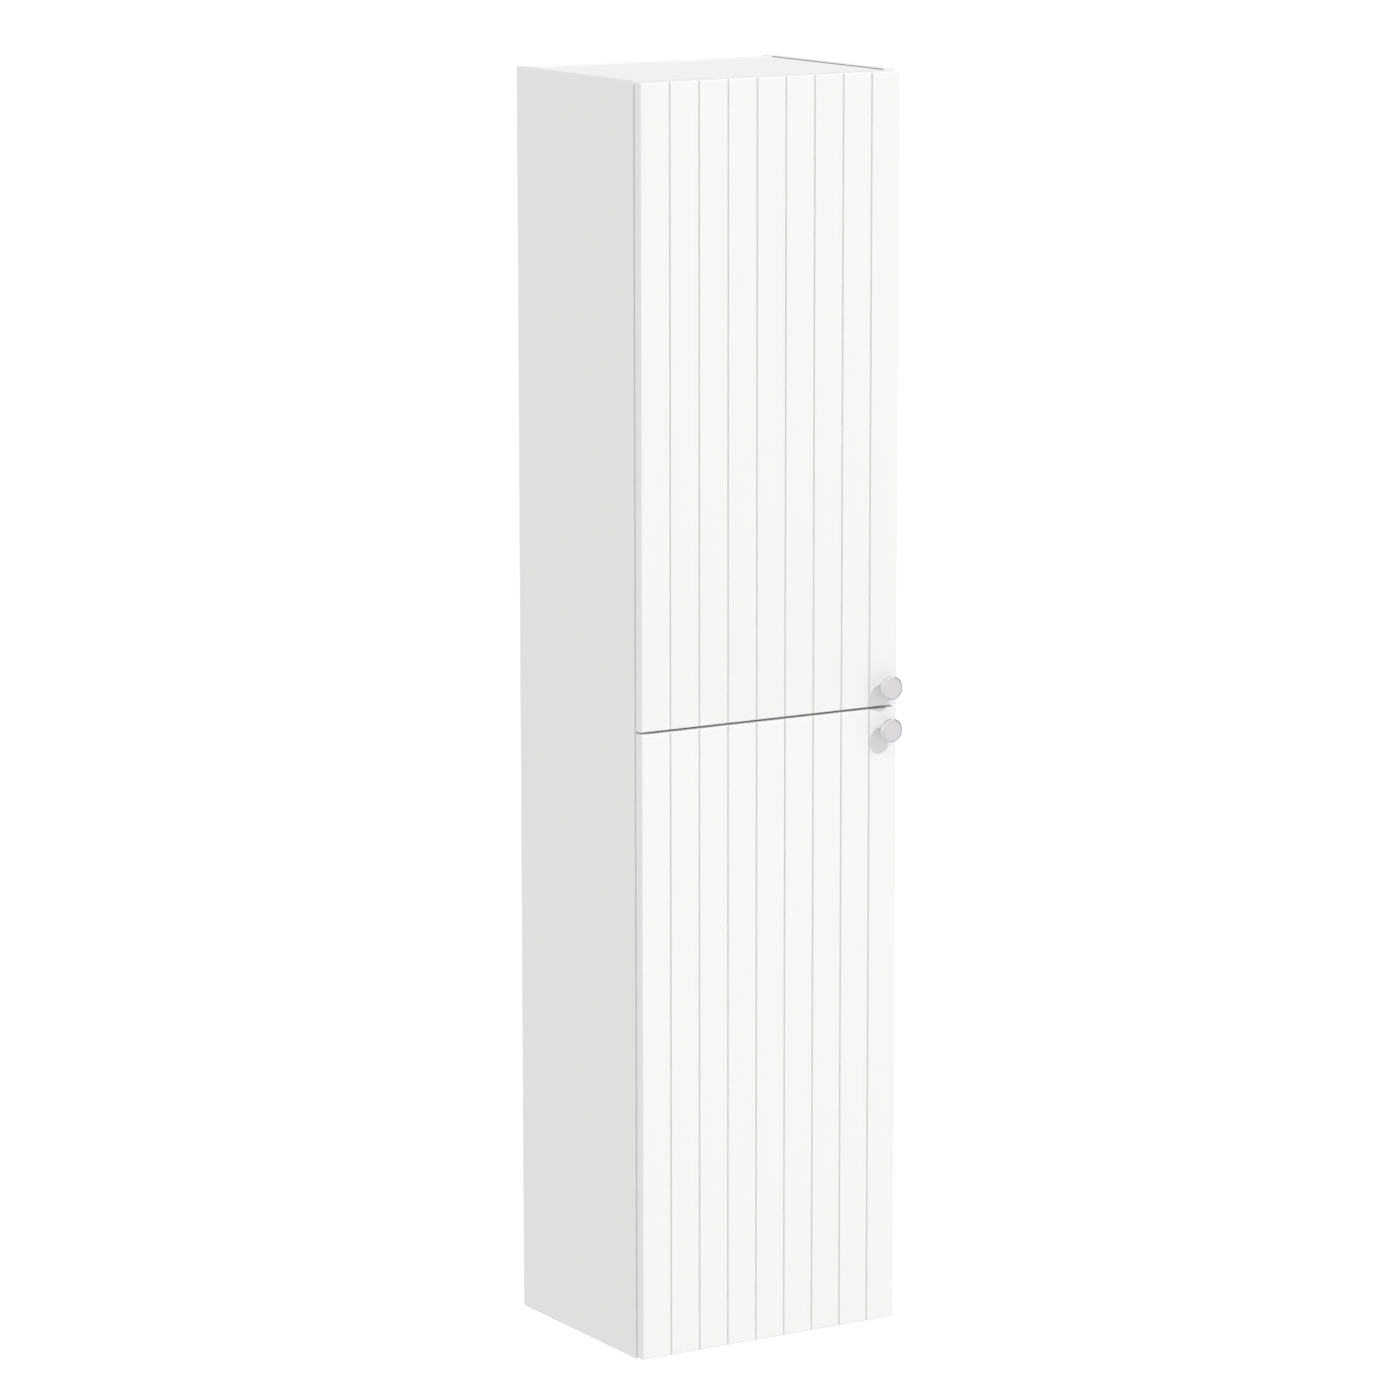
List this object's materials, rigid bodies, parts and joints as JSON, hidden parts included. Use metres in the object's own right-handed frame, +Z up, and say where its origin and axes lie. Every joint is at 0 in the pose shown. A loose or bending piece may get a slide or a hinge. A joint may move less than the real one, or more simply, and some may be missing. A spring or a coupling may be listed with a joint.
{
  "type": "tall wall-hung bathroom cabinet",
  "caption": "tall narrow white wall-hung bathroom cabinet with an upper and a lower tongue-and-groove door on concealed hinges, round chrome knobs and glass shelves inside",
  "frame": {"origin": "centre of the four wall screws, on the face of the wall", "axes": "+X along the wall to the right seen from the front, +Y into the wall, +Z up; the doors face -Y"},
  "size_m": [0.4, 0.3425, 1.7],
  "materials": {
    "white_lacquer": "matt",
    "beech": "raw",
    "clear_glass": "polished",
    "knob_chrome": "polished",
    "nickel_steel": "satin",
    "zinc_steel": "zinc plated",
    "screw_steel": "satin",
    "hanger_plastic": "white",
    "buffer_plastic": "soft"
  },
  "bodies": {
    "carcass": {"back_panel": "white_lacquer", "bottom_panel": "white_lacquer", "hanger_adjusters": "screw_steel", "hanger_fixing_screws": "screw_steel", "hinge_clamp_screws": "screw_steel", "hinge_plate_screws": "screw_steel", "joint_tongues": "beech", "left_hanger": "hanger_plastic", "left_hanger_hook": "zinc_steel", "left_side_panel": "white_lacquer", "left_wall_plate": "zinc_steel", "lower_door_bottom_hinge_arm": "nickel_steel", "lower_door_bottom_hinge_plate": "nickel_steel", "lower_door_top_hinge_arm": "nickel_steel", "lower_door_top_hinge_plate": "nickel_steel", "lower_glass_shelf_1": "clear_glass", "lower_glass_shelf_2": "clear_glass", "middle_shelf": "white_lacquer", "right_hanger": "hanger_plastic", "right_hanger_hook": "zinc_steel", "right_side_panel": "white_lacquer", "right_wall_plate": "zinc_steel", "shelf_pegs": "screw_steel", "top_panel": "white_lacquer", "upper_door_bottom_hinge_arm": "nickel_steel", "upper_door_bottom_hinge_plate": "nickel_steel", "upper_door_top_hinge_arm": "nickel_steel", "upper_door_top_hinge_plate": "nickel_steel", "upper_glass_shelf_1": "clear_glass", "upper_glass_shelf_2": "clear_glass"},
    "upper_inner_links": {"upper_door_inner_links": "nickel_steel"},
    "upper_outer_links": {"upper_door_outer_links": "nickel_steel"},
    "upper_door": {"upper_door": "white_lacquer", "upper_door_buffers": "buffer_plastic", "upper_door_cup_screws": "screw_steel", "upper_door_hinge_cups": "nickel_steel", "upper_door_knob": "knob_chrome", "upper_door_knob_screw": "screw_steel"},
    "lower_inner_links": {"lower_door_inner_links": "nickel_steel"},
    "lower_outer_links": {"lower_door_outer_links": "nickel_steel"},
    "lower_door": {"lower_door": "white_lacquer", "lower_door_buffers": "buffer_plastic", "lower_door_cup_screws": "screw_steel", "lower_door_hinge_cups": "nickel_steel", "lower_door_knob": "knob_chrome", "lower_door_knob_screw": "screw_steel"}
  },
  "joints": [
    {"name": "upper_inner_link_pivot", "type": "hinge", "parent": "carcass", "child": "upper_inner_links", "pos_m": [-0.1628, -0.2916, -0.36525], "axis": [0, 0, 1], "range_deg": [0, 38.95]},
    {"name": "upper_door_pivot", "type": "hinge", "parent": "upper_inner_links", "child": "upper_door", "pos_m": [-0.1869, -0.3039, -0.36525], "axis": [0, 0, -1], "range_deg": [0, 133.95]},
    {"name": "upper_outer_link_pivot", "type": "hinge", "parent": "carcass", "child": "upper_outer_links", "pos_m": [-0.1658, -0.3059, -0.36525], "axis": [0, 0, 1], "range_deg": [0, 53.2]},
    {"name": "lower_inner_link_pivot", "type": "hinge", "parent": "carcass", "child": "lower_inner_links", "pos_m": [-0.1628, -0.2916, -1.21475], "axis": [0, 0, 1], "range_deg": [0, 38.95]},
    {"name": "lower_door_pivot", "type": "hinge", "parent": "lower_inner_links", "child": "lower_door", "pos_m": [-0.1869, -0.3039, -1.21475], "axis": [0, 0, -1], "range_deg": [0, 133.95]},
    {"name": "lower_outer_link_pivot", "type": "hinge", "parent": "carcass", "child": "lower_outer_links", "pos_m": [-0.1658, -0.3059, -1.21475], "axis": [0, 0, 1], "range_deg": [0, 53.2]}
  ],
  "couplings": [
    {"joint": "upper_inner_link_pivot", "follows": "upper_door_pivot", "ratio": 0.29078},
    {"joint": "upper_outer_link_pivot", "follows": "upper_door_pivot", "ratio": 0.39716},
    {"joint": "lower_inner_link_pivot", "follows": "lower_door_pivot", "ratio": 0.29078},
    {"joint": "lower_outer_link_pivot", "follows": "lower_door_pivot", "ratio": 0.39716}
  ]
}
